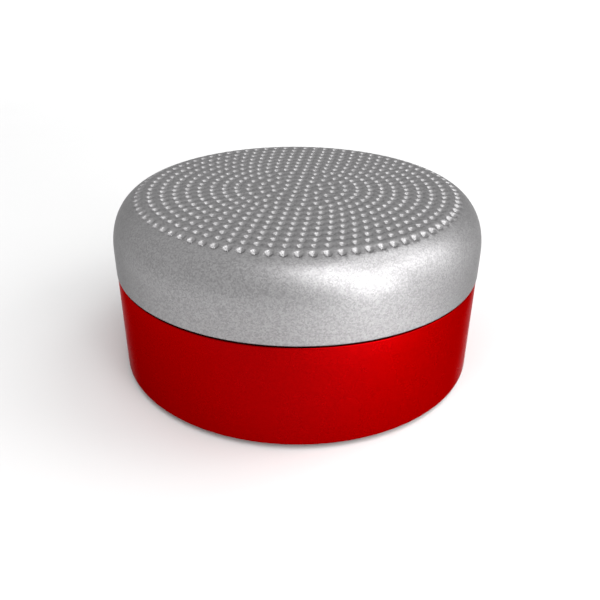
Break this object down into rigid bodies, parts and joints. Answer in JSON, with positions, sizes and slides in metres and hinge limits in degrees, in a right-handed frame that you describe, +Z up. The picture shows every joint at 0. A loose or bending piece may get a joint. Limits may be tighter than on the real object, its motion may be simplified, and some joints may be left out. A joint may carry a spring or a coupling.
{
  "type": "digital audio player",
  "caption": "Round pocket audio player: perforated silver top shell over a red base, with a loudspeaker, battery, board and rear keys inside.",
  "frame": {"origin": "centre of the resting face under the foot ring", "axes": "+Z up through the grille, +Y towards the rear controls, +X to the right seen from the front"},
  "size_m": [0.06, 0.06, 0.0293],
  "materials": {
    "silver_paint": "satin, fine metallic fleck",
    "red_anodised": "glossy metallic red",
    "cloth": "fine acoustic cloth",
    "black_plastic": "matt moulded",
    "gloss_black": "semi gloss moulded",
    "black_rubber": "soft matt",
    "foam": "closed cell foam",
    "zinc_steel": "bright zinc plated",
    "black_steel": "black coated pressed steel",
    "magnet": "nickel plated",
    "paper_cone": "pressed paper, black",
    "spider_cloth": "resin dipped cloth",
    "polyimide": "amber film",
    "copper": "enamelled copper wire",
    "fibre_board": "phenolic board",
    "lead_cover": "soft insulated wire",
    "circuit_board": "green solder mask",
    "ivory_plastic": "white connector nylon",
    "chip_epoxy": "black epoxy",
    "tin_can": "tinned steel",
    "ferrite": "grey ferrite",
    "tantalum": "moulded tantalum",
    "cell_pouch": "laminated foil pouch",
    "clear_plastic": "clear light guide"
  },
  "bodies": {
    "housing": {"top_shell": "silver_paint", "dust_cloth": "cloth", "seam_ring": "black_rubber", "baffle": "black_plastic", "base_shell": "red_anodised", "bottom_plate": "black_plastic", "foot_ring": "black_rubber", "case_screws": "zinc_steel", "driver_gasket": "foam", "driver_screws": "zinc_steel", "driver_basket": "black_steel", "driver_yoke": "zinc_steel", "driver_magnet": "magnet", "pole_plate": "zinc_steel", "surround": "black_rubber", "spider": "spider_cloth", "terminal_strip": "fibre_board", "tinsel_leads": "copper", "speaker_leads": "lead_cover", "speaker_connector": "ivory_plastic", "main_board": "circuit_board", "board_screws": "zinc_steel", "audio_processor": "chip_epoxy", "amplifier_chip": "chip_epoxy", "flash_memory": "chip_epoxy", "clock_crystal": "tin_can", "filter_inductors": "ferrite", "buffer_capacitors": "tantalum", "battery_cell": "cell_pouch", "battery_board": "circuit_board", "battery_tape": "foam", "battery_leads": "lead_cover", "battery_connector": "ivory_plastic", "port_panel": "gloss_black", "usb_shell": "tin_can", "usb_tongue": "black_plastic", "card_socket": "tin_can", "status_led": "ivory_plastic", "light_pipe": "clear_plastic", "switch_body": "tin_can", "tact_switches": "tin_can"},
    "diaphragm": {"cone": "paper_cone", "dust_cap": "paper_cone", "coil_former": "polyimide", "voice_coil": "copper"},
    "power_slider": {"switch_knob": "gloss_black"},
    "previous_key": {"previous_button": "gloss_black", "previous_plunger": "black_plastic"},
    "play_key": {"play_button": "gloss_black", "play_plunger": "black_plastic"},
    "next_key": {"next_button": "gloss_black", "next_plunger": "black_plastic"}
  },
  "joints": [
    {"name": "cone_travel", "type": "slide", "parent": "housing", "child": "diaphragm", "axis": [0, 0, 1], "range_m": [-0.0006, 0.0006], "stiffness_N_per_m": 1000, "deforming": ["surround", "spider", "tinsel_leads"]},
    {"name": "power_slide", "type": "slide", "parent": "housing", "child": "power_slider", "axis": [-0.9744, -0.225, 0], "range_m": [0, 0.002]},
    {"name": "previous_press", "type": "slide", "parent": "housing", "child": "previous_key", "axis": [0.4695, -0.8829, 0], "range_m": [0, 0.0004], "stiffness_N_per_m": 1500, "springref_m": -0.0003},
    {"name": "play_press", "type": "slide", "parent": "housing", "child": "play_key", "axis": [0.6626, -0.749, 0], "range_m": [0, 0.0004], "stiffness_N_per_m": 1500, "springref_m": -0.0003},
    {"name": "next_press", "type": "slide", "parent": "housing", "child": "next_key", "axis": [0.8192, -0.5736, 0], "range_m": [0, 0.0004], "stiffness_N_per_m": 1500, "springref_m": -0.0003}
  ]
}
